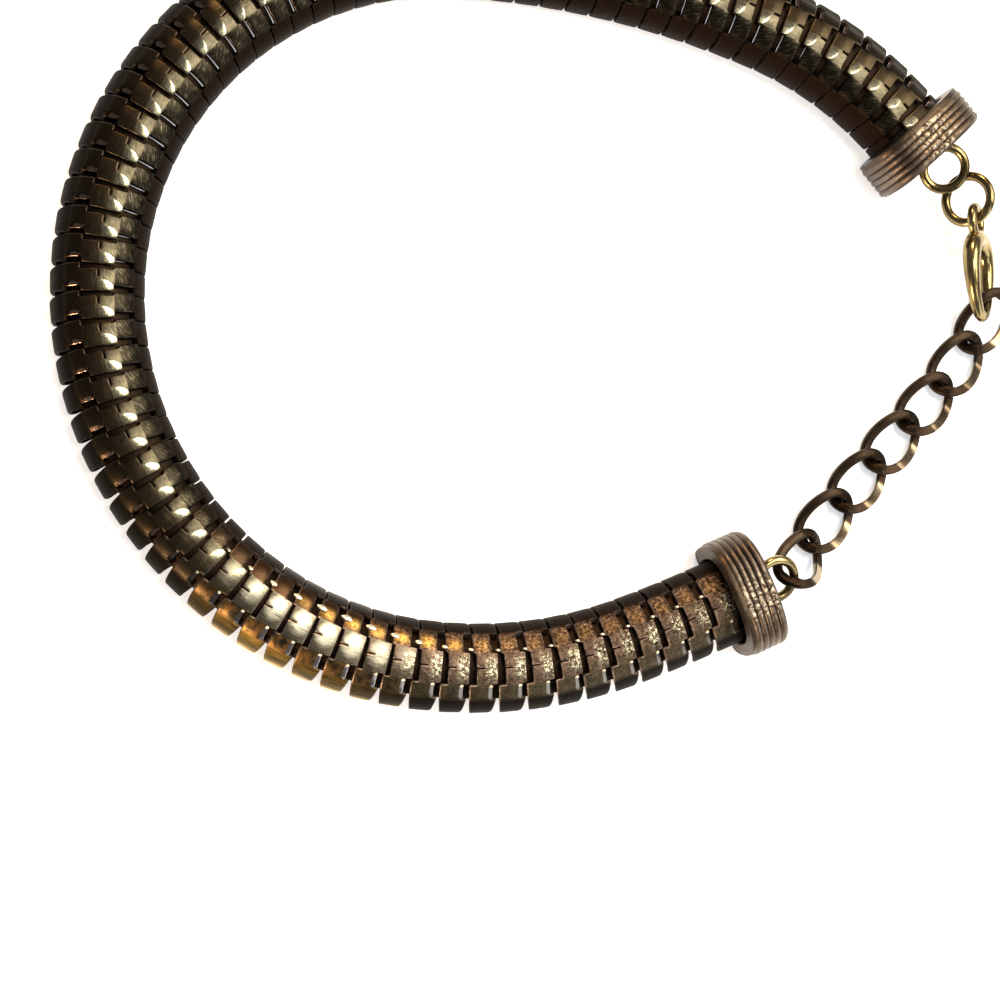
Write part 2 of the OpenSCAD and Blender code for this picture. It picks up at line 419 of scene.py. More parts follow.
def add_plates(b, index, at, rows, ends):
    """The stamped shell of a link: its rounded edge, its plates and the underside of the sheet."""
    outline = plate_outline(rows)
    n = len(outline)
    rings = [inset(outline, d) if d else outline for d, depth, wear_and_painted_light in EDGE_RINGS]
    verts, places, wear_and_painted_light = [], [], []
    for ring, (_, depth, wear_and_glint) in zip(rings, EDGE_RINGS):
        verts += shell_points(ring, rows, depth)
        places += [(s, x) for s, x in ring]
        wear_and_painted_light += [wear_and_glint] * n
    edge_faces = grid_faces(len(rings), n, close_columns=True)

    # Plates, as triangles inside the last ring
    first = (len(rings) - 1) * n
    flat = [Vector((float(s), float(x))) for s, x in rings[-1]] + [Vector(p) for p in bend_points(rows)]
    border = [(i, (i + 1) % n) for i in range(n)]
    points, _, triangles, sources, _, _ = delaunay_2d_cdt(flat, border, [], 1, 1e-5)
    number, added = [], []
    for point, source in zip(points, sources):
        if source and source[0] < n:
            number.append(first + source[0])
        else:
            number.append(len(verts) + len(added))
            added.append((point.x, point.y))
    verts += shell_points(added, rows, 0.0)
    places += added
    wear_and_painted_light += [0.0] * len(added)
    top_faces = []
    for f in triangles:
        p, q, r = (points[i] for i in f)
        clockwise = (q[0] - p[0]) * (r[1] - p[1]) - (r[0] - p[0]) * (q[1] - p[1]) < 0
        corners = [number[i] for i in f]
        top_faces.append(tuple(corners if clockwise else corners[::-1]))

    # Underside, which shares the first ring
    under = {i: i - first for i in range(first, first + n)}
    low_faces = []
    for f in top_faces:
        for i in f:
            if i not in under:
                under[i] = len(verts)
                verts += shell_points([places[i]], rows, SHEET)
                places.append(places[i])
                wear_and_painted_light.append(0.0)
        low_faces.append(tuple(under[i] for i in reversed(f)))

    uv = [(s, x + UV_STEP * index) for s, x in places]
    finish = [(CRINKLE[index], front_edge(s, ends) - x, 0.0, w) for (s, x), w in zip(places, wear_and_painted_light)]
    b.add(lay(at, verts), edge_faces + top_faces + low_faces, uv, finish)


def add_knob(b, at, middle, size, slope, levels, sides, uv):
    """A small knob, marked for a painted highlight. The levels are the angles of its rings from its top, in
    radians.
    """
    points = []
    for t in levels:
        for cos, sin in circle(sides):
            along, across = size[0] * math.sin(t) * cos, size[1] * math.sin(t) * sin
            up = size[2] * math.cos(t) - slope * across
            points.append((middle[0] + along, middle[1] + across, middle[2] + up))
    count = len(points)
    faces = flipped(grid_faces(len(levels), sides, close_columns=True))
    faces += [tuple(range(sides)), tuple(range(count - 1, count - 1 - sides, -1))]
    b.add(lay(at, points), faces, [uv] * count, [KNOB_HIGHLIGHT_FINISH] * count)


def add_bead(b, index, at, rows):
    """Bead at the inner end of the outer tab's bevel."""
    s = -S_OUT - 0.13
    x = front_edge(s, rows) - 0.2
    y, z = on_section(s, plate_depth(s, x, rows))
    x += lean(s, z)
    add_knob(b, at, (x, y, z), (0.19, 0.12, 0.13), 0.0, (0.15, 0.7, 1.2, 1.7), 8, (s, x + UV_STEP * index))


def add_lug(b, index, at, pitch):
    """Lug that shows between the inner tabs, longer and wider at the corner."""
    big = at_corner(index)
    s = S_IN + 0.2 + 0.62 * big
    y, z = on_section(s, 0.14 - 0.2 * big)
    x = pitch - 0.46 + 0.28 * big + lean(s, z)
    size = (0.2 + 0.26 * big, 0.11 + 0.1 * big, 0.1)
    add_knob(b, at, (x, y, z), size, 0.35, (0.12, 0.5, 0.9, 1.3, 1.9), 12, (-S_OUT - 0.1, UV_STEP * index))


def add_neck(b, index, at, pitch):
    """The neck, which runs on under the next link's plates."""
    steps = 18
    s_low, s_high = -s_at(2.42) - 0.66, S_WIDE + 0.8
    rear, front = 1.16, min(2.62, 1.2 + pitch * 0.66)
    top, under = 0.66, 0.95
    ring = [
        (rear, top + 0.08), (rear + 0.04, top), (front - 0.05, top), (front, top + 0.06),
        (front, under), (rear, under),
    ]
    points, uv = [], []
    for x, depth in ring:
        for i in range(steps + 1):
            s = s_low + (s_high - s_low) * i / steps
            y, z = on_section(s, depth)
            points.append((x - 0.75 * LEAN_BACK, y, z))
            uv.append((s, x + UV_STEP * index))
    faces = grid_faces(len(ring), steps + 1, close_rows=True)
    faces.append(tuple(i * (steps + 1) for i in range(len(ring))))
    faces.append(tuple(i * (steps + 1) + steps for i in reversed(range(len(ring)))))
    b.add(lay(at, points), flipped(faces), uv, mat=1)


def add_back(b, index, place):
    """Plain plate on the flat back."""
    rear, front, half_w, low, high = 0.07, 1.43, 2.3, 0.006, 0.26
    outline = ((rear, -half_w), (front, -half_w), (front, half_w), (rear, half_w))
    points = [(x, y, z) for z in (low, high) for x, y in outline]
    faces = [(3, 2, 1, 0), (4, 5, 6, 7), (0, 1, 5, 4), (1, 2, 6, 5), (2, 3, 7, 6), (3, 0, 4, 7)]
    uv = [(6 + y * 0.1, x + UV_STEP * index) for x, y, z in points]
    b.add(lay(place, points), faces, uv, [(0.0, 0.5, 0.0, 0.0)] * len(points))


def make_link(b, index, station):
    """One stamped link, a little askew as loose links lie."""
    askew = spin(rng.uniform(-0.5, 0.5)) @ spin(rng.uniform(-0.6, 0.6), "Y")
    place = shift(station.x, station.y, station.z) @ spin(station.heading + 180) @ shift(-LINK_MID)
    at = place @ shift(LINK_MID) @ askew @ shift(-LINK_MID) @ shift(0, 0, 0.012)
    longer = 0.2 * at_corner(index)
    ends = link_rows(station, longer)
    rows = link_rows(station, longer, FIRST_REACH) if index == 0 else ends
    add_plates(b, index, at, rows, ends)
    add_bead(b, index, at, ends)
    if index < LUG_LINKS:
        add_lug(b, index, at, station.pitch)
    add_neck(b, index, at, station.pitch)
    add_back(b, index, place)


# Materials
class Nodes:
    """A material, with short ways to make and join its nodes."""

    def __init__(self, name):
        self.mat = bpy.data.materials.new(name)
        self.mat.use_nodes = True
        self.tree = self.mat.node_tree
        self.bsdf = self.tree.nodes["Principled BSDF"]

    def new(self, kind, **settings):
        node = self.tree.nodes.new(kind)
        for key, value in settings.items():
            setattr(node, key, value)
        return node

    def link(self, a, b):
        self.tree.links.new(a, b)

    def put(self, socket, value):
        """Sets a socket to a number or a colour, or joins it to another node's output."""
        if isinstance(value, (int, float)):
            socket.default_value = value
        elif isinstance(value, tuple):
            socket.default_value = (*value, 1)
        else:
            self.link(value, socket)

    def uv(self):
        return self.new("ShaderNodeUVMap", uv_map="UVMap").outputs["UV"]

    def object_place(self):
        return self.new("ShaderNodeTexCoord").outputs["Object"]

    def finish(self):
        """The mesh's four finish values."""
        values = self.new("ShaderNodeAttribute", attribute_name="finish")
        split = self.new("ShaderNodeSeparateColor")
        self.link(values.outputs["Color"], split.inputs["Color"])
        return split.outputs[0], split.outputs[1], split.outputs[2], values.outputs["Alpha"]

    def math(self, operation, a, b=None, clamp=False):
        node = self.new("ShaderNodeMath", operation=operation, use_clamp=clamp)
        self.put(node.inputs[0], a)
        if b is not None:
            self.put(node.inputs[1], b)
        return node.outputs[0]

    def times(self, first, *others):
        """Product of all the values."""
        for value in others:
            first = self.math("MULTIPLY", first, value)
        return first

    def noise(self, place, scale, detail=3.0, rough=0.55, distort=0.0):
        node = self.new("ShaderNodeTexNoise")
        settings = {"Scale": scale, "Detail": detail, "Roughness": rough, "Distortion": distort}
        for key, value in settings.items():
            node.inputs[key].default_value = value
        self.link(place, node.inputs["Vector"])
        return node.outputs["Fac"]

    def grain(self, place, x, y, detail, rough, distort=0.0, degrees=0.0):
        """Noise with its own fineness each way, turned by an angle."""
        if degrees:
            rotate = self.new("ShaderNodeVectorRotate", rotation_type="Z_AXIS")
            rotate.inputs["Angle"].default_value = math.radians(degrees)
            self.link(place, rotate.inputs["Vector"])
            place = rotate.outputs["Vector"]
        mapping = self.new("ShaderNodeMapping")
        mapping.inputs["Scale"].default_value = (x, y, 1.0)
        self.link(place, mapping.inputs["Vector"])
        return self.noise(mapping.outputs["Vector"], 1.0, detail, rough, distort)

    def ramp(self, value, stops):
        node = self.new("ShaderNodeValToRGB")
        elements = node.color_ramp.elements
        while len(elements) < len(stops):
            elements.new(0.5)
        for element, (position, colour) in zip(elements, stops):
            element.position = position
            element.color = (*colour, 1)
        self.link(value, node.inputs["Fac"])
        return node.outputs["Color"]

    def mix(self, amount, a, b):
        node = self.new("ShaderNodeMix", data_type="RGBA")
        for number, value in ((0, amount), (6, a), (7, b)):
            self.put(node.inputs[number], value)
        return node.outputs[2]

    def map(self, value, low, high, at_low=0, at_high=1):
        """Value carried from one range to another, and held at its ends."""
        node = self.new("ShaderNodeMapRange")
        self.link(value, node.inputs["Value"])
        limits = (("From Min", low), ("From Max", high), ("To Min", at_low), ("To Max", at_high))
        for key, limit in limits:
            node.inputs[key].default_value = limit
        return node.outputs["Result"]

    def bump(self, height, distance, strength, normal=None):
        """Relief of a height, whose distance is in metres."""
        node = self.new("ShaderNodeBump")
        node.inputs["Distance"].default_value = distance
        self.put(node.inputs["Strength"], strength)
        self.link(height, node.inputs["Height"])
        if normal is not None:
            self.link(normal, node.inputs["Normal"])
        return node.outputs["Normal"]

    def metal(self, colour, roughness, normal):
        self.bsdf.inputs["Metallic"].default_value = 1.0
        for key, value in (("Base Color", colour), ("Roughness", roughness), ("Normal", normal)):
            self.link(value, self.bsdf.inputs[key])


# Colours of the chain. A ramp's stops are places and colours
BROWN_PLATES = [(0.3, (0.06, 0.037, 0.026)), (0.5, (0.113, 0.07, 0.049)), (0.7, (0.175, 0.112, 0.08))]
OLIVE_PLATES = [(0.3, (0.039, 0.033, 0.021)), (0.7, (0.1, 0.084, 0.054))]
# Painted light: the plates at the corner are made brighter
CORNER_PLATES_LIT = (0.11, 0.092, 0.058)
# Painted shade on the plates' outer half, near the cap and beyond the corner
PLATES_OUTSIDE_SHADE = (0.06, 0.048, 0.03)
FAR_PLATES_OUTSIDE_SHADE = (0.034, 0.023, 0.013)
OUTER_TABS = [(0.3, (0.035, 0.028, 0.016)), (0.7, (0.085, 0.066, 0.04))]
FAR_OUTER_TABS = (0.03, 0.021, 0.012)
# Copper flecks on the inner tabs near the cap, partly painted glints
COPPER_FLECKS_AND_GLINTS = [(0.4, (0.03, 0.018, 0.011)), (0.52, (0.085, 0.048, 0.029)), (0.62, (0.3, 0.175, 0.1))]
# Painted light: the inner tabs at the corner are made brighter
CORNER_INNER_TABS_LIT = (0.06, 0.03, 0.015)
FAR_INNER_TABS = (0.017, 0.014, 0.0095)
# Painted shade on the chain's outer and inner sides
OUTER_SIDE_SHADE = (0.006, 0.0045, 0.003)
INNER_SIDE_SHADE = (0.012, 0.007, 0.0045)
# Painted highlight on the inner tabs' warm spots
YELLOW_HIGHLIGHT = (0.62, 0.36, 0.09)
# Painted highlight of the glow at the corner
GLOW_HIGHLIGHT = (0.66, 0.6, 0.46)
# Painted reflections of warm light on the teeth's tips and the outer tabs at the corner
TIP_REFLECTION = (0.95, 0.6, 0.12)
AMBER_REFLECTION = (0.35, 0.18, 0.05)
# Painted highlight of the leaf on the front lips, dim to bright across it
DIM_LEAF_HIGHLIGHT, BRIGHT_LEAF_HIGHLIGHT = (0.24, 0.215, 0.14), (0.5, 0.455, 0.31)
# Painted glints of the sparkle near the cap
SPARKLE = (0.55, 0.54, 0.38)
SCRATCH = (0.17, 0.145, 0.095)
PIT = (0.022, 0.014, 0.008)
# Rubbed edges: real rubbing, with a painted sheen
RUBBED_EDGE_SHEEN = (0.48, 0.37, 0.32)
# Painted reflection on the outer tabs' bevels, painted shade on them beyond the corner, and a painted copper
# highlight on their oval
NEAR_BAR_REFLECTION, CORNER_BAR_REFLECTION, FAR_BAR_SHADE = (0.135, 0.124, 0.106), (0.42, 0.37, 0.35), (0.02, 0.013, 0.009)
COPPER_OVAL_HIGHLIGHT = (0.17, 0.115, 0.085)
# Painted shadow on the plates' rear rims, under the lip of the link before
REAR_RIM_SHADOW = (0.012, 0.008, 0.005)
# Painted highlight on the bead and lug knobs
KNOB_HIGHLIGHT = (0.75, 0.7, 0.54)


class ChainMetal(Nodes):
    """Antique gold of the plates, dark with age, with painted highlights on the lips and bevels and painted
    shade on the sides.
    """

    def __init__(self, name):
        super().__init__(name)
        self.read_mesh()
        self.mark_parts()
        self.mark_zones()
        self.mark_shine()
        self.colour = self.patina_and_painted_light()
        self.shine()
        self.scratches_and_shade()
        self.sides()
        self.wear_and_painted_light()
        self.metal(self.colour, self.roughness(), self.relief())

    def paint(self, amount, tone):
        """Lays a tone over the colour so far."""
        self.colour = self.mix(amount, self.colour, tone)

    def read_mesh(self):
        """Place on a link, place along the chain, finish values and noises."""
        place = self.uv()
        axes = self.new("ShaderNodeSeparateXYZ")
        self.link(place, axes.inputs[0])
        self.s, self.along = axes.outputs[0], axes.outputs[1]
        self.crinkle, self.from_front, _, self.wear_and_glint = self.finish()
        self.fine = self.grain(place, 11.0, 0.8, 4.0, 0.65)
        self.coarse = self.grain(place, 3.4, 0.5, 2.0, 0.5)
        self.nuggets = self.grain(place, 4.6, 3.6, 4.0, 0.68, 0.8)
        self.scratch = self.grain(place, 24.0, 1.3, 2.0, 0.5, degrees=28.0)
        self.blotch = self.noise(place, 1.3, 3.0, 0.6)
        self.ragged = self.math("ADD", self.s, self.map(self.fine, 0.3, 0.7, -0.04, 0.04))

    def ellipse(self, front, across, inside, outside, low=0):
        """1 in an ellipse on a link, given by its middle and half length each way, and low outside it."""
        squares = []
        for value, (middle, half) in ((self.from_front, front), (self.s, across)):
            d = self.math("DIVIDE", self.math("SUBTRACT", value, middle), half)
            squares.append(self.times(d, d))
        return self.map(self.math("ADD", *squares), inside, outside, 1, low)

    def around(self, value, middle, inside, outside):
        """1 near a middle value, falling to 0 on both sides."""
        away = self.math("ABSOLUTE", self.math("SUBTRACT", value, middle))
        return self.map(away, inside, outside, 1, 0)

    def from_link(self, first, last, before, after):
        """Value that changes from one link to another along the chain."""
        return self.map(self.along, UV_STEP * first, UV_STEP * last, before, after)

    def none_of(self, mask):
        return self.map(mask, 0, 1, 1, 0)

    def mark_parts(self):
        """Middle plate, inner tabs, sides, and the outer tab's bevel with its oval."""
        ragged = self.ragged
        right_of_out = self.map(ragged, -S_OUT - 0.03, -S_OUT + 0.03)
        left_of_in = self.map(ragged, S_IN - 0.03, S_IN + 0.03, 1, 0)
        self.top = self.times(right_of_out, left_of_in)
        self.inner = self.map(ragged, S_IN - 0.03, S_IN + 0.03)
        outer_side = self.map(ragged, -S_TOOTH - 0.2, -S_TOOTH + 0.3, 1, 0)
        inner_side = self.map(ragged, S_FAR - 0.3, S_FAR + 0.1)
        self.side = self.math("ADD", outer_side, inner_side)
        self.bar = self.times(
            self.map(self.from_front, 0.36, 0.4, 1, 0),
            self.map(self.s, -S_OUT - 0.06, -S_OUT - 0.03, 1, 0),
            self.map(self.s, -S_TOOTH - 0.02, -S_TOOTH + 0.06),
        )
        self.oval = self.ellipse((0.17, 0.2), (-S_OUT - 0.6, 0.42), 0.6, 1.1)
        self.knob = self.map(self.wear_and_glint, 1.4, 1.9)

    def mark_zones(self):
        """Crinkled near the cap, lit brighter at the corner with painted light, and smooth and darker beyond
        it.
        """
        self.near = self.from_link(11.5, 15.0, 1, 0)
        self.bright = self.times(self.from_link(11.5, 14.5, 0, 1), self.from_link(17.0, 20.0, 1, 0))
        self.far = self.from_link(17.5, 21.5, 0, 1)

    def mark_shine(self):
        """Masks of painted highlights: a leaf on the front lips, a glow at the corner, sparkle near the cap,
        and warm spots on the inner tabs.
        """
        leaf_middle = self.map(self.s, 0.0, 1.1, 0.66, 0.34)
        leaf = self.ellipse((leaf_middle, 0.33), (0.56, 0.6), 0.75, 1.05)
        self.leaf = self.times(leaf, self.top, self.far)
        glow = self.ellipse((0.95, 0.85), (0.1, 1.0), 0.35, 1.25, 0.12)
        self.glow = self.times(glow, self.top, self.bright)
        self.spark = self.times(
            self.map(self.nuggets, 0.49, 0.57),
            self.map(self.from_front, 0.7, 1.1, 1, 0.06),
            self.map(self.math("ABSOLUTE", self.s), 0.5, 1.0, 1, 0.12),
            self.near,
        )
        # Mask of the inner tabs' painted highlight
        self.hot = self.times(
            self.around(self.s, S_IN + 0.62, 0.1, 0.6),
            self.around(self.from_front, 0.75, 0.15, 0.7),
            self.map(self.nuggets, 0.36, 0.5, 0.25, 1),
            self.from_link(8.6, 11.4, 0.12, 1),
            self.from_link(14.5, 17.0, 1, 0),
        )

    def patina_and_painted_light(self):
        """Ground colour of the plates and tabs in each zone, with painted shade on the plates' outer half,
        painted light at the corner and painted highlights on the inner tabs' warm spots.
        """
        plate = self.ramp(self.blotch, BROWN_PLATES)
        # Painted shade on the plates' outer half
        plate = self.mix(self.map(self.s, -0.9, -0.1, 0.6, 0), plate, PLATES_OUTSIDE_SHADE)
        # Painted light: brighter plates at the corner
        smooth_plate = self.mix(self.far, CORNER_PLATES_LIT, self.ramp(self.blotch, OLIVE_PLATES))
        plate = self.mix(self.near, smooth_plate, plate)
        tab = self.mix(self.far, self.ramp(self.blotch, OUTER_TABS), FAR_OUTER_TABS)
        # Painted light: brighter inner tabs at the corner
        inner_tab = self.mix(self.far, CORNER_INNER_TABS_LIT, FAR_INNER_TABS)
        # Copper flecks, partly painted glints
        inner_tab = self.mix(self.near, inner_tab, self.ramp(self.nuggets, COPPER_FLECKS_AND_GLINTS))
        # Painted highlight: yellow warm spots on the inner tabs
        inner_tab = self.mix(self.hot, inner_tab, YELLOW_HIGHLIGHT)
        return self.mix(self.top, self.mix(self.inner, tab, inner_tab), plate)

    def shine(self):
        """Painted highlights on the plates: the glow at the corner, the leaf on the lips and the sparkle
        near the cap.
        """
        streaks = self.map(self.fine, 0.36, 0.56, 0.25, 1)
        streaks = self.math("MAXIMUM", streaks, self.map(self.s, -0.3, 0.3, 0, 0.9))
        # Painted highlight: the glow
        self.paint(self.times(self.glow, streaks, 0.9), GLOW_HIGHLIGHT)
        leaf_colour = self.mix(self.map(self.s, 0.15, 0.75), DIM_LEAF_HIGHLIGHT, BRIGHT_LEAF_HIGHLIGHT)
        # Painted highlight: the leaf
        self.paint(self.leaf, leaf_colour)
        # Painted glints: the sparkle
        self.paint(self.times(self.spark, self.top), SPARKLE)

    def scratches_and_shade(self):
        """Slanted scratch lines, and painted shade on the outer half of the plates beyond the corner."""
        scratched = self.map(self.times(self.far, self.math("ADD", self.top, self.inner)), 0, 1, 0.15, 1)
        lines = self.times(self.map(self.scratch, 0.58, 0.66, 0, 0.7), scratched, self.none_of(self.side))
        self.paint(lines, SCRATCH)
        # Painted shade on the plates' outer half beyond the corner
        outer_half = self.times(self.top, self.far, self.map(self.ragged, -0.06, 0.02, 0.85, 0))
        self.paint(outer_half, FAR_PLATES_OUTSIDE_SHADE)

    def sides(self):
        """Painted shade on the sides, with painted golden reflections on the tips and painted amber ones on
        the outer tabs at the corner.
        """
        tips = self.map(self.ragged, -S_WIDE + 0.1, -S_WIDE + 0.9, 1, 0.1)
        tips = self.times(tips, self.map(self.coarse, 0.35, 0.6, 0.3, 1), self.bright)
        # Painted shade on the sides, with painted reflections on the tips at the corner
        side_colour = self.mix(tips, OUTER_SIDE_SHADE, TIP_REFLECTION)
        side_colour = self.mix(self.map(self.ragged, 0, 0.1), side_colour, INNER_SIDE_SHADE)
        self.paint(self.side, side_colour)
        # Painted amber reflection on the outer tabs at the corner
        amber = self.times(
            self.bright,
            self.map(self.ragged, -S_OUT - 0.1, -S_OUT, 1, 0),
            self.map(self.blotch, 0.4, 0.6, 0, 0.8),
            self.none_of(self.side),
        )
        self.paint(amber, AMBER_REFLECTION)

    def wear_and_painted_light(self):
        """Dark pits, rubbed edges with a painted sheen, painted reflections and shade on the bevels, painted
        shadow on the plates' rear rims, and painted highlights on the knobs.
        """
        pits = self.times(self.map(self.nuggets, 0.42, 0.47, 1, 0), self.crinkle)
        self.paint(self.times(pits, self.map(self.bar, 0, 1, 0.75, 0)), PIT)
        # Rubbed edges: real rubbing, with a painted sheen
        rub = self.math("MULTIPLY", self.wear_and_glint, self.map(self.coarse, 0.35, 0.65, 0.1, 0.8), clamp=True)
        rub = self.times(rub, self.map(self.far, 0, 1, 1, 0.1), self.map(self.side, 0, 1, 1, 0.15))
        self.paint(rub, RUBBED_EDGE_SHEEN)
        # Painted reflection and shade on the bevels, with a painted copper highlight on the oval
        bar_colour = self.mix(self.bright, NEAR_BAR_REFLECTION, CORNER_BAR_REFLECTION)
        bar_colour = self.mix(self.far, bar_colour, self.mix(self.oval, FAR_BAR_SHADE, COPPER_OVAL_HIGHLIGHT))
        self.paint(self.bar, bar_colour)
        # Painted shadow on the plates' rear rims beyond the corner
        rear_rim = self.times(self.top, self.far, self.map(self.from_front, 1.58, 1.66, 0, 0.95))
        self.paint(rear_rim, REAR_RIM_SHADOW)
        # Painted highlight on the knobs
        self.paint(self.times(self.knob, self.none_of(self.far)), KNOB_HIGHLIGHT)

    def roughness(self):
        dull_side = self.times(self.side, self.map(self.bright, 0, 1, 0.36, 0.1))
        dull = self.math("ADD", self.map(self.fine, 0.3, 0.7, 0.26, 0.38), dull_side)
        dull = self.math("ADD", dull, self.times(self.knob, 0.14))
        dull = self.math("SUBTRACT", dull, self.times(self.math("MAXIMUM", self.leaf, self.bar), 0.15))
        return self.math("SUBTRACT", dull, self.times(self.spark, 0.08))

    def relief(self):
        """Grain and crinkles, nearly flat on the leaf and the bevels."""
        rough = self.map(self.math("MAXIMUM", self.leaf, self.bar), 0, 1, 1, 0.08)
        fine = self.times(rough, self.math("ADD", 0.15, self.times(self.top, 0.35)))
        coarse = self.times(rough, self.math("ADD", 0.1, self.times(self.top, 0.2)))
        crinkled = self.times(self.crinkle, self.map(self.side, 0, 1, 0.9, 0.2), rough)
        normal = self.bump(self.fine, 0.00003, fine)
        normal = self.bump(self.coarse, 0.00005, coarse, normal)
        return self.bump(self.nuggets, 0.00016, crinkled, normal)


def neck_metal(name):
    """Half-hidden necks, painted near black as shade in the gaps between the plates."""
    m = Nodes(name)
    fine = m.grain(m.uv(), 8.0, 1.2, 3.0, 0.6)
    # Painted shade: near-black necks in the gaps
    colour = m.ramp(fine, [(0.35, (0.01, 0.007, 0.005)), (0.65, (0.03, 0.018, 0.011))])
    m.metal(colour, m.map(fine, 0.3, 0.7, 0.45, 0.6), m.bump(fine, 0.00003, 0.4))
    return m.mat


# Painted shade of the wires: dark tones for an extender link's far arm and joins
WIRE_SHADE = [(0.3, (0.018, 0.0115, 0.0075)), (0.7, (0.038, 0.025, 0.0165))]


def wire_metal(name, light, dark, rough, scale):
    """Polished antique gold with soft blotches and small dents, painted dark and dull where the finish marks
    shade.
    """
    m = Nodes(name)
    place = m.object_place()
    painted_shade = m.finish()[0]
    blotch = m.noise(place, scale * 0.4, 3.0, 0.6)
    fine = m.noise(place, scale, 4.0, 0.6)
    colour = m.mix(painted_shade, m.ramp(blotch, [(0.32, dark), (0.66, light)]), m.ramp(blotch, WIRE_SHADE))
    even = m.map(fine, 0.3, 0.7, rough - 0.04, rough + 0.08)
    roughness = m.math("ADD", even, m.times(painted_shade, 0.25))
    m.metal(colour, roughness, m.bump(fine, 0.00002, 0.5))
    return m.mat


CAP_COLOURS = [(0.3, (0.08, 0.058, 0.043)), (0.55, (0.125, 0.094, 0.072)), (0.72, (0.19, 0.148, 0.116))]
# Pale flecks painted as glints on the cap's nicks, and the darker tone of its grooves
CAP_FLECK_GLINT, CAP_GROOVE = (0.8, 0.68, 0.52), (0.035, 0.023, 0.015)


def cap_metal(name):
    """Ribbed cap: darker and redder gold, nicked along the ridges' crests, with pale flecks painted as
    glints on the nicks in a band along the crown.
    """
    m = Nodes(name)
    place = m.uv()
    crest, crown = m.finish()[:2]
    nicks = m.grain(place, 3.4, 2.2, 2.0, 0.55, 0.3)
    fine = m.grain(place, 5.0, 9.0, 3.0, 0.6)
    colour = m.ramp(m.noise(place, 0.7, 3.0, 0.6), CAP_COLOURS)
    # Band of nicked crests that get painted glints
    wear_and_glint = m.times(crown, crest)
    colour = m.mix(m.times(m.map(nicks, 0.46, 0.54, 0, 0.95), wear_and_glint), colour, CAP_FLECK_GLINT)
    colour = m.mix(crest, m.mix(0.7, colour, CAP_GROOVE), colour)
    normal = m.bump(fine, 0.00004, 0.4)
    normal = m.bump(nicks, 0.0005, m.map(wear_and_glint, 0, 1, 0.12, 0.95), normal)
    m.metal(colour, m.map(fine, 0.3, 0.7, 0.32, 0.48), normal)
    return m.mat


GOLD = ChainMetal("chain_gold").mat
NECK = neck_metal("neck_gold")
CAP = cap_metal("cap_gold")
EXT = wire_metal("extender_gold", (0.34, 0.27, 0.18), (0.17, 0.115, 0.072), 0.17, 900.0)
RING = wire_metal("clasp_gold", (0.34, 0.265, 0.12), (0.075, 0.05, 0.022), 0.2, 600.0)

# The chain
b = Build()
for i, station in enumerate(STATIONS):
    make_link(b, i, station)
chain = b.piece("snake_chain_links", [GOLD, NECK], 34)
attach(chain, "root")
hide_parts("snake_chain")

# End caps: sizes over the walls, how far a cap covers the chain, its walls, ridges and mouth
CAP_HALF, CAP_H, CAP_L = 4.85, 5.9, 3.3
CAP_COVER, CAP_WALL, CAP_FLOOR = 0.7, 0.9, 0.25
CAP_MID = 0.35 * CAP_H
CAP_ROUND = 0.74
CAP_STEPS = 56
RIDGES, RIDGE_H, RIDGE_STEPS = 5, 0.14, 8
FIRST_RIDGE, LAST_RIDGE = 0.42, CAP_L - 0.12
END_INSET = 0.12
LIP_WALL, LIP_L = 1.12, 0.34
HOLLOW_END = CAP_L - 0.8
# The ring soldered on the closed end: radius, thickness, reach from the end, height and roll
LOOP_R, LOOP_WIRE, LOOP_REACH, LOOP_Z, LOOP_ROLL = 1.7, 0.4, 1.3, 2.9, 25


def cap_outline(grow):
    """Outline of the cap's section, grown by an amount, flat on its back."""
    half, high = CAP_HALF + grow, CAP_H + grow
    top = []
    for i in range(CAP_STEPS + 1):
        a = math.radians(180 * i / CAP_STEPS)
        c, e = math.cos(a), math.sin(a)
        y = half * math.copysign(abs(c) ** CAP_ROUND, c)
        top.append((y, CAP_MID + (high - CAP_MID) * abs(e) ** CAP_ROUND))
    low = [(0.985, 0.62), (0.96, 0.34), (0.93, 0.14), (0.88, 0.03), (0.8, 0.0)]
    left = [(-half * p, CAP_MID * q) for p, q in low]
    right = [(half * p, CAP_MID * q) for p, q in reversed(low)]
    flat = [(half * (-0.8 + 1.6 * i / 6), 0.0) for i in range(1, 6)]
    return top + left + flat + right


def cap_profile():
    """Rows along the cap: place, growth of the section, how much it is a ridge's crest."""
    rows = [(0.0, -0.1, 0.0), (0.03, -0.03, 0.0), (0.1, 0.0, 0.0)]
    step = (LAST_RIDGE - FIRST_RIDGE) / RIDGES
    for i in range(RIDGES):
        for j in range(RIDGE_STEPS):
            u = j / RIDGE_STEPS
            crest = max(0.0, math.sin(math.pi * u)) ** 0.6
            rows.append((FIRST_RIDGE + step * (i + u), RIDGE_H * crest, crest))
    rows += [(LAST_RIDGE, 0.0, 0.0), (CAP_L - 0.05, -0.03, 0.0), (CAP_L, -END_INSET, 0.0)]
    return rows


def add_cap_wall(b, place):
    """Ribbed wall, with a band along its crown where the nicks get painted glints."""
    rows = cap_profile()
    verts, uv, finish = [], [], []
    for x, grow, crest in rows:
        outline = cap_outline(grow)
        run = 0.0
        for i, (y, z) in enumerate(outline):
            if i:
                run += math.dist((y, z), outline[i - 1])
            verts.append((x, y, z))
            uv.append((run, x))
            # Band along the crown where the nicks get painted glints
            band = math.exp(-((y + 0.6) / 1.3) ** 2) if z > 2.0 else 0.0
            finish.append((crest, band, 0, 0))
    faces = grid_faces(len(rows), len(outline), close_columns=True)
    b.add(lay(place, verts), flipped(faces), uv, finish)


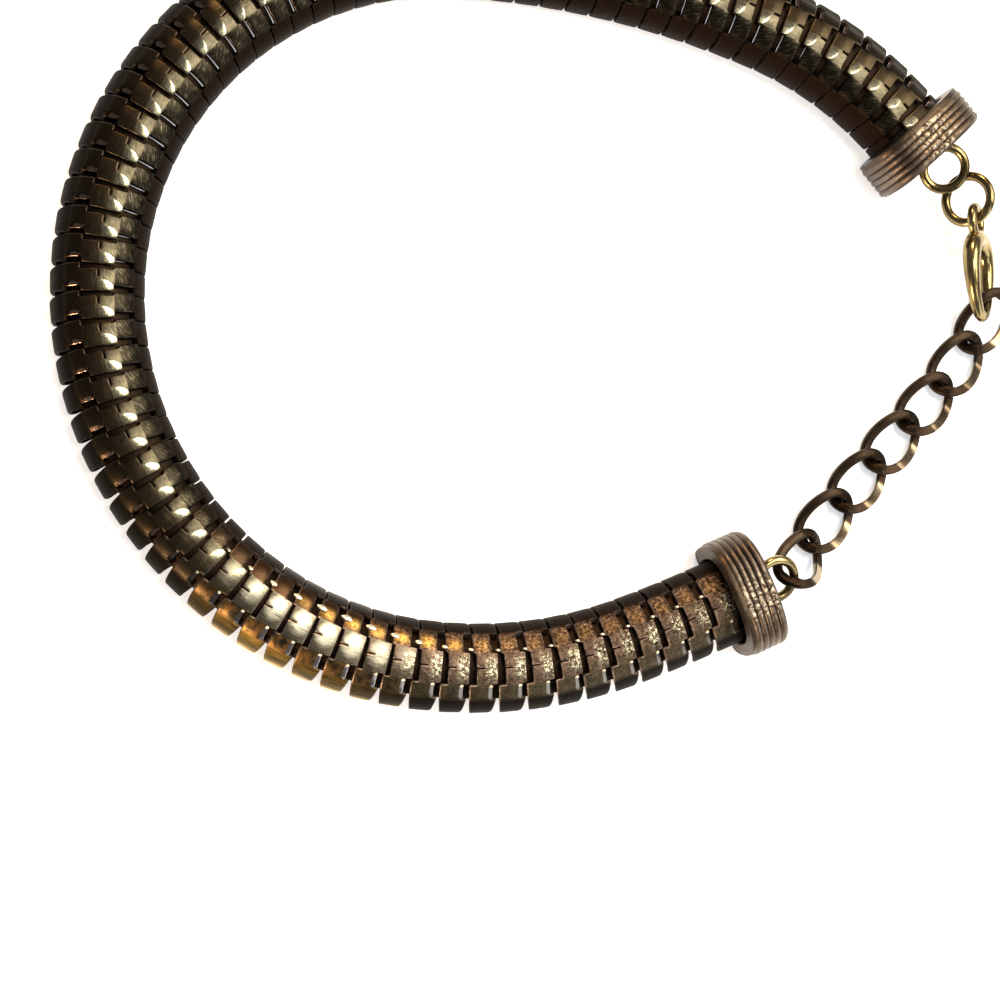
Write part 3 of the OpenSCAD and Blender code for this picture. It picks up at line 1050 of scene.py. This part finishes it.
def add_cap_end(b, place):
    """Flat closed end."""
    outline = cap_outline(-END_INSET)
    count = len(outline)
    points, uv = [], []
    for share in (1, 0.9, 0.55):
        for y, z in outline:
            points.append((CAP_L, y * share, CAP_MID + (z - CAP_MID) * share))
            uv.append((y, z))
    points.append((CAP_L, 0, CAP_MID))
    uv.append((0, 0))
    faces = flipped(grid_faces(3, count, close_columns=True))
    faces += [(2 * count + (i + 1) % count, 3 * count, 2 * count + i) for i in range(count)]
    b.add(lay(place, points), faces, uv, [(0.2, 0, 0, 0)] * len(points))


def add_cap_mouth(b, place):
    """Curled edge of the mouth, and the dark hollow behind it."""
    rows = [
        (0.0, 0.1), (0.0, LIP_WALL - 0.1), (0.1, LIP_WALL), (LIP_L, LIP_WALL),
        (0.5, CAP_WALL), (HOLLOW_END, CAP_WALL),
    ]
    points, uv = [], []
    for x, wall in rows:
        for y, z in cap_outline(-wall):
            points.append((x, y, max(z, CAP_FLOOR)))
            uv.append((y, max(z, CAP_FLOOR)))
    count = len(points) // len(rows)
    last = len(points) - count
    faces = grid_faces(len(rows), count, close_columns=True)
    faces += [(last + i, last + (i + 1) % count, len(points)) for i in range(count)]
    points.append((HOLLOW_END, 0, 2.5))
    uv.append((0, 0))
    finish = [(0.8, 0, 0, 0)] * (3 * count) + [(0.0, 0, 0, 0)] * (len(points) - 3 * count)
    b.add(lay(place, points), faces, uv, finish)


def add_cap_ring(b, place):
    """Ring soldered on the closed end, thicker at its joint."""
    segments, sides = 64, 16
    points, uv = [], []
    for i in range(segments):
        a = TAU * i / segments
        wire = LOOP_WIRE * (1 + 0.12 * max(0.0, -math.cos(a)) ** 6)
        for j in range(sides):
            t = TAU * j / sides
            r = LOOP_R + wire * math.cos(t)
            points.append((r * math.cos(a), r * math.sin(a), wire * math.sin(t)))
            uv.append((a * LOOP_R, t * LOOP_WIRE))
    at = place @ shift(CAP_L + LOOP_REACH, 0, LOOP_Z) @ spin(LOOP_ROLL, "X")
    b.add(lay(at, points), grid_faces(segments, sides, True, True), uv, mat=1)


def build_cap(name, node, x, y, heading):
    b = Build()
    place = shift(x, y) @ spin(heading) @ shift(-CAP_COVER)
    add_cap_wall(b, place)
    add_cap_end(b, place)
    add_cap_mouth(b, place)
    add_cap_ring(b, place)
    ob = b.piece(name, [CAP, RING], 40)
    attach(ob, "root")
    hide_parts(node)


build_cap("extender_cap_ribbed", "extender_cap", CAP_START[0], CAP_START[1], CAP_START[2] + 180)
build_cap("clasp_cap_ribbed", "clasp_cap", CAP_END[0], CAP_END[1], CAP_END[2])

# Extender links, jump ring and clasp as they lie: x, y, z, heading, dip, roll
FLAT_Z = 0.95
EXTENDER = [
    (20.38, -20.09, 2.0, 45, 27, 0),
    (22.97, -16.76, FLAT_Z, 48.5, 0, 0),
    (25.98, -13.42, FLAT_Z, 47.5, 0, 0),
    (29.05, -10.13, FLAT_Z, 46.5, 0, 0),
    (32.15, -6.86, FLAT_Z, 46.5, 0, 0),
    (35.02, -3.41, FLAT_Z, 52, 0, 0),
    (37.42, 0.24, 1.3, 55, -9, 0),
]
JUMP_PLACE = (35.34, 10.22, 2.5, 98, 0, 134)
CLASP_PLACE = (36.37, 3.64, 2.4, -84, 5, -47)
# An extender link: wire, length and width over the wire, rise of its sides, height of its filed flats
WIRE, LINK_L, LINK_W, TWIST, FILED = 0.83, 6.33, 4.43, 0.55, 0.87
# The last link is a little narrower, to stay inside the part's box
LAST_NARROWER = 0.09
JUMP_R, RING_WIRE = 1.9, 0.4


def placed(x, y, z, heading, dip, roll):
    return shift(x, y, z) @ spin(heading) @ spin(dip, "Y") @ spin(roll, "X")


def ring_path(radius, count, x=0.0):
    return [(x + radius * cos, radius * sin, 0) for cos, sin in circle(count)]


def tube(path, radii, sides, file_down=None):
    """Tube round a closed path that lies nearly flat. Returns its points, faces and UVs."""
    up = Vector((0, 0, 1))
    count = len(path)
    points, uv = [], []
    run = 0.0
    for i in range(count):
        middle = Vector(path[i])
        along = (Vector(path[(i + 1) % count]) - Vector(path[i - 1])).normalized()
        outward = along.cross(up).normalized()
        upward = outward.cross(along)
        if i:
            run += (middle - Vector(path[i - 1])).length
        for j in range(sides):
            a = TAU * (j + 0.5) / sides
            p = middle + radii[i] * (math.cos(a) * outward + math.sin(a) * upward)
            if file_down is not None:
                p = file_down(p, middle, a, radii[i], outward, upward)
            points.append(tuple(p))
            uv.append((run, a * radii[i]))
    return points, grid_faces(count, sides, True, True), uv


def inner_growth(y):
    """How much an extender link's wire thickens inwards at its ends, where the links rub."""
    y = abs(y)
    return 0.08 + 0.85 * y * y if y < 0.45 else 0.25 * past(-y, -1.05, 0.6)


def filed(p, middle, a, radius, outward, upward):
    """Point of an extender link's wire, thickened inwards and filed flat on top."""
    p = p - inner_growth(middle.y) * max(0.0, -math.cos(a)) * outward
    flat_from = 0.6 if middle.y < -0.8 else 0.85
    p -= radius * max(0.0, math.sin(a) - flat_from) * upward
    p.z = max(-FILED, min(FILED, p.z))
    return p


def build_extender_link(number, place, narrower):
    """One twisted curb link, with painted shade on its far arm and at its joins."""
    segments, sides = 120, 20
    half_l, half_w = (LINK_L - WIRE) / 2, (LINK_W - WIRE) / 2 - narrower
    path, radii = [], []
    for i in range(segments):
        t = TAU * i / segments
        path.append((half_l * math.cos(t), half_w * math.sin(t), TWIST * math.sin(2 * t)))
        radii.append(0.48 * WIRE * (1 + 0.1 * max(0.0, math.sin(t))))
    points, faces, uv = tube(path, radii, sides, filed)
    # Painted shade on the far arm and at the joins
    finish = []
    for x, y, z in points:
        join = min(1.0, past(abs(x), 1.15, 0.25))
        far_arm = 0.95 * min(1.0, past(y, -0.2, 0.8))
        finish.append((max(join, far_arm), 0, 0, 0))
    b = Build()
    b.add(lay(place, points), faces, uv, finish)
    ob = b.piece("curb_link_%d" % number, [EXT], 30)
    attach(ob, "root")
    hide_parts("extender_link_%d" % number)


for i, lie in enumerate(EXTENDER):
    build_extender_link(i + 1, placed(*lie), LAST_NARROWER if lie is EXTENDER[-1] else 0.0)

# Jump ring
b = Build()
points, faces, uv = tube(ring_path(JUMP_R, 72), [RING_WIRE] * 72, 18)
b.add(lay(placed(*JUMP_PLACE), points), faces, uv)
ob = b.piece("round_jump_ring", [RING], 40)
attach(ob, "root")
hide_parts("jump_ring")

# Clasp: closed hook, thin at its nose and thick at its tail, with a tail ring
CLASP_L, HOOK_W, TAPER, THIN, THICK = 7.8, 2.2, 0.2, 0.48, 0.88
TAIL_R, TAIL_OVERLAP = 1.2, 0.58


def build_clasp(segments=120):
    half_l = (CLASP_L - THIN - THICK) / 2
    path, radii = [], []
    for i in range(segments):
        t = TAU * i / segments
        path.append((half_l * math.cos(t), HOOK_W * math.sin(t) * (1 - TAPER * math.cos(t)), 0))
        radii.append(0.93 * ((THIN + THICK) / 2 - (THICK - THIN) / 2 * math.cos(t)))
    hook = tube(path, radii, 20)
    tail_x = TAIL_OVERLAP - THICK - TAIL_R - half_l
    tail = tube(ring_path(TAIL_R, 64, tail_x), [RING_WIRE] * 64, 16)
    b = Build()
    for points, faces, uv in (hook, tail):
        b.add(lay(placed(*CLASP_PLACE), points), faces, uv)
    ob = b.piece("hook_clasp", [RING], 40)
    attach(ob, "root")
    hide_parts("clasp")


build_clasp()


# Floor, just under the part
def build_floor(radius=900.0, sides=96, z=-0.02):
    rim = [(radius * cos, radius * sin, z) for cos, sin in circle(sides)]
    faces = [(0, 1 + i, 1 + (i + 1) % sides) for i in range(sides)]
    m = Nodes("pale_floor")
    m.bsdf.inputs["Base Color"].default_value = (0.91, 0.93, 0.95, 1)
    m.bsdf.inputs["Emission Color"].default_value = (0.97, 0.98, 1.0, 1)
    m.bsdf.inputs["Emission Strength"].default_value = 0.55
    m.bsdf.inputs["Roughness"].default_value = 0.8
    m.link(m.bump(m.noise(m.object_place(), 900.0), 0.00002, 0.25), m.bsdf.inputs["Normal"])
    return mesh_piece("pale_floor", [(0, 0, z)] + rim, faces, [m.mat])


floor = build_floor()

# Camera, above the table and a little to the left
CAMERA_AT = (-37.39, -26.86, 143.79)
CAMERA_TILT, CAMERA_ROLL = 12, -0.62


def make_camera():
    cam = bpy.data.cameras.new("camera")
    ob = bpy.data.objects.new("camera", cam)
    bpy.context.scene.collection.objects.link(ob)
    tilt = math.radians(CAMERA_TILT)
    toward = Vector((math.sin(tilt), 0, -math.cos(tilt)))
    level = Vector((math.cos(tilt), 0, math.sin(tilt)))
    right = Matrix.Rotation(math.radians(-CAMERA_ROLL), 3, toward) @ level
    up = right.cross(toward)
    axes = Matrix((right, up, -toward)).transposed().to_4x4()
    ob.matrix_world = Matrix.Translation(Vector(CAMERA_AT) * MM) @ axes
    cam.sensor_width = 36.0
    cam.lens = 65.75
    cam.shift_x, cam.shift_y = 0.0247, 0.1465
    cam.clip_start = 0.005
    cam.clip_end = 5.0
    return ob


bpy.context.scene.camera = make_camera()

# Lights in metres, round a point near the chain's corner. Each leans by two angles from straight up:
# name, lean along x and y, size, power, colour
LIGHTS_AIM = (-0.012, -0.01, 0)
LIGHTS_FAR = 0.6
LIGHTS = [
    ("key", 15, 5, 0.2, 1.5, (1.0, 0.97, 0.86)),
    ("side_key", 46, -3, 0.16, 0.6, (1.0, 0.94, 0.8)),
    ("front_key", 33, -34, 0.2, 0.35, (1.0, 0.96, 0.84)),
    ("far_key", 37, 23, 0.36, 3.0, (1.0, 0.93, 0.78)),
    ("warm_far", -4, 56, 0.14, 2.2, (1.0, 0.68, 0.36)),
    ("warm_low", -66, -70, 0.16, 3.4, (1.0, 0.7, 0.44)),
    ("grey_low", 74, -71, 0.4, 1.0, (0.95, 0.95, 1.0)),
]


def make_light(name, lean_x, lean_y, size, power, colour):
    light = bpy.data.lights.new(name, "AREA")
    light.shape = "DISK"
    light.size = size
    light.energy = power
    light.color = colour
    ob = bpy.data.objects.new(name, light)
    bpy.context.scene.collection.objects.link(ob)
    way = Vector((math.tan(math.radians(lean_x)), math.tan(math.radians(lean_y)), 1)).normalized()
    ob.location = Vector(LIGHTS_AIM) + way * LIGHTS_FAR
    ob.rotation_euler = (-way).to_track_quat("-Z", "Y").to_euler()


for light in LIGHTS:
    make_light(*light)
world = bpy.data.worlds.new("world")
bpy.context.scene.world = world
world.use_nodes = True
background = world.node_tree.nodes["Background"]
background.inputs["Color"].default_value = (0.93, 0.95, 1.0, 1)
background.inputs["Strength"].default_value = 0.22
bpy.context.scene.view_settings.view_transform = "Standard"
